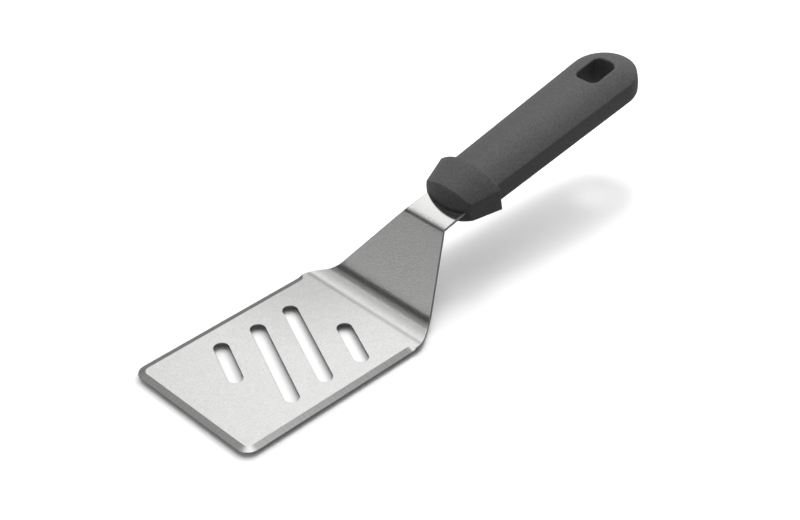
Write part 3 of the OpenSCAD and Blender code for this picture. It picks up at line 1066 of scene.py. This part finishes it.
# %% The handle
def make_handle():
    skin = Skin()
    side, into = grip_outline()
    columns, turns = rim_columns(side, into, RIM_R, SWELL)
    strip = upright(skin, columns, closed=False)
    wells, _ = rim_columns(*hang_outline(), HOLE_R, 0.0)
    well = upright(skin, wells)

    top, top_normal = grip_arch(abs(columns[0, 0, 1]), GRIP_CROWN, 1)
    low, low_normal = grip_arch(abs(columns[0, -1, 1]), GRIP_BELLY, -1)
    over, under = skin.ring(on_handle(top)), skin.ring(on_handle(low))
    scattered = grid_points(np.arange(GRIP_START + GRIP_MARGIN, TIP, GRIP_MESH), END_R, GRIP_MESH)
    for k, arch, ring, rise, sign in ((0, top, over, GRIP_CROWN, 1), (-1, low, under, GRIP_BELLY, -1)):
        flat = np.vstack([columns[:, k, :2], arch[::-1, :2]])
        skin.fill([strip[k] + ring[::-1], well[k]], [flat, wells[:, k, :2]], scattered, crowned(rise, sign))

    start = [ring[0] for ring in strip] + under + [ring[-1] for ring in strip[::-1]] + over[::-1]
    base = np.vstack([columns[0, :, 1:], low[:, 1:], columns[-1, ::-1, 1:], top[::-1, 1:]])
    right, left = turns[0] * [into[0][1], 1], turns[-1][::-1] * [into[-1][1], 1]
    facing = unit(np.vstack([right, low_normal, left, top_normal[::-1]]))
    fillet = fillet_rings(skin, base, facing)
    collar, rim = collar_rings(skin, *collar_section(len(over)))
    skin.bands([start] + fillet + collar)
    close_nose(skin, collar[-1], rim)
    return skin.make("moulded_handle", [plastic])


handle = make_handle()
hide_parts("handle")
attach(handle, "root")

# %% [markdown]
# ## Floor
# The tool lies on plain white paper, lit until only the tool's soft shadow shows on it. Stronger lamps would
# bleach the tool as well. So the paper is paler to the camera than to the tool: it shows white, and yet
# throws little light back up on the handle's sides. Far away, where the lamps reach it less, it glows a
# little for the camera alone. Over the handle's shadow it glows a little for the camera too, starting at the
# riser. That is painted light, which makes the handle's shadow lighter while the shadow near the blade stays
# dark. It lies slightly under the blade, which draws a thin dark line along the near edges.

# %% White paper
PAPER, PAPER_MIRRORED, PAPER_SEEN = 0.25, 0.42, 1.0
# Painted light: the paper glows for the camera over the handle's shadow, from the riser back, which lightens
# that shadow.
SHADOW_LIFT, SHADOW_LIFT_FROM, SHADOW_LIFT_TO = 0.06, 0.065, 0.125  # level, and where it starts and is full in metres
FAR_GLOW, FAR_FROM, FAR_TO = 0.9, 0.22, 0.9


def bare_tree(owner):
    owner.use_nodes = True
    owner.node_tree.nodes.clear()
    return Flow(owner.node_tree)


def paper_glow_and_shadow_lift(flow):
    # painted light that lifts the handle's shadow
    behind = soft_step(flow, part_x(flow), SHADOW_LIFT_FROM, SHADOW_LIFT_TO, SHADOW_LIFT)
    gap = flow.node("VectorMath", {"operation": "LENGTH"}, {0: part_place(flow)}, out="Value")
    level = behind + soft_step(flow, gap, FAR_FROM, FAR_TO, FAR_GLOW)
    colour = tinted(flow, level, grey(0.0), grey(1.0))
    return flow.node("Emission", None, {"Color": colour, "Strength": 1.0})


def white_paper():
    material = bpy.data.materials.new("white_paper")
    flow = bare_tree(material)
    seen = flow.node("LightPath", out="Is Camera Ray")
    mirrored = flow.node("LightPath", out="Is Glossy Ray")
    colour = tinted(flow, mirrored, grey(PAPER), grey(PAPER_MIRRORED))
    dull = flow.node("BsdfDiffuse", None, {"Color": colour})
    pale = flow.node("BsdfDiffuse", None, {"Color": (*grey(PAPER_SEEN), 1)})
    bright = flow.node("AddShader", None, {0: pale, 1: paper_glow_and_shadow_lift(flow)})
    paper = flow.node("MixShader", None, {0: seen, 1: dull, 2: bright})
    flow.node("OutputMaterial", None, {"Surface": paper})
    return material


# %% Floor
FLOOR_SIZE, FLOOR_AT = 3.0, -2.2 * MM


def add_floor():
    mesh = bpy.data.meshes.new("studio_floor")
    r = FLOOR_SIZE / 2
    mesh.from_pydata([(-r, -r, 0), (r, -r, 0), (r, r, 0), (-r, r, 0)], [], [(0, 1, 2, 3)])
    mesh.materials.append(white_paper())
    floor = add_object("studio_floor", mesh)
    floor.location.z = FLOOR_AT
    return floor


floor = add_floor()
print("floor:", FLOOR_SIZE, "m wide")

# %% [markdown]
# ## Room
# Bright steel shows only what stands round it. A large soft box behind the tool makes the flat of the blade
# and the tang light, a smaller one overhead catches the near corner of the ground edge, and a dark gap beside
# the box draws the dark lines along the bends. Real boxes and cards could stand in the scene, but they would
# show in other views. So each is a soft round shade of the room's shell, lighter or darker than its walls.
# The camera itself sees the shell as white.

# %% Room
ROOM_LEVEL = 0.5
SHADES = (  # turn and height of its middle, where it ends and where it is full from there, change of level
    (40, 35, 22, 15, 1.65),  # soft box behind the tool, which the flat of the blade and the tang mirror
    (40, 20, 20, 15, -1.2),  # dark skirt under it
    (40, 75, 15, 10, 1.5),  # top box, for the near corner of the ground edge
    (10, 55, 15, 10, -0.7),  # flag beside the boxes
    (125, 50, 22, 15, -1.2),  # dark gap, which the bends mirror
    (160, 35, 20, 10, 0.8),  # pale card past the gap, which the riser mirrors
    (60, 30, 35, 10, -0.35),  # dim far corner
    (-120, 10, 100, 30, -0.25),  # near wall
)


def shade(flow, where, turn, height, end, full):
    """From 0 to 1: how far a direction lies inside a shade. Angles are in degrees."""
    turn, height = math.radians(turn), math.radians(height)
    middle = (math.cos(height) * math.cos(turn), math.cos(height) * math.sin(turn), math.sin(height))
    nearness = flow.node("VectorMath", {"operation": "DOT_PRODUCT"}, {0: where, 1: middle}, out="Value")
    return soft_step(flow, nearness, math.cos(math.radians(end)), math.cos(math.radians(full)))


def add_room():
    world = bpy.data.worlds.new("studio")
    bpy.context.scene.world = world
    flow = bare_tree(world)
    where = flow.node("TexCoord", out="Generated")
    level = ROOM_LEVEL
    for *spot, change in SHADES:
        level = level + shade(flow, where, *spot) * change
    level = flow.maths("MAXIMUM", level, 0.0)
    level = flow.maths("MAXIMUM", level, flow.node("LightPath", out="Is Camera Ray"))
    tone = flow.node("CombineColor", None, {"Red": level, "Green": level, "Blue": level})
    shell = flow.node("Background", None, {"Color": tone, "Strength": 1.0})
    flow.node("OutputWorld", None, {"Surface": shell})
    print("room shades:", len(SHADES))


add_room()

# %% [markdown]
# ## Lamps
# Two lamps above light the paper and the handle: a wide one for the softness, and a small one for the
# shadow's edge. The steel doesn't mirror them, because the room's shades give it all that it should show.

# %% Lamps
LAMPS_AIM = (0.1, 0, 0.02)


def add_lamp(name, place, size, power):
    """A square lamp aimed at the middle of the tool."""
    lamp = bpy.data.lights.new(name, "AREA")
    lamp.size, lamp.energy = size, power
    stand = add_object(name, lamp)
    stand.location = Vector(place)
    stand.rotation_euler = (stand.location - Vector(LAMPS_AIM)).to_track_quat("Z", "Y").to_euler()
    stand.visible_glossy = False
    print(name, size, "m,", power, "W")


add_lamp("wide_lamp", (0.42, 0.40, 0.75), 1.7, 12.6)
add_lamp("small_lamp", (0.30, 0.08, 0.35), 0.085, 0.40)
bpy.context.scene.view_settings.view_transform = "Standard"
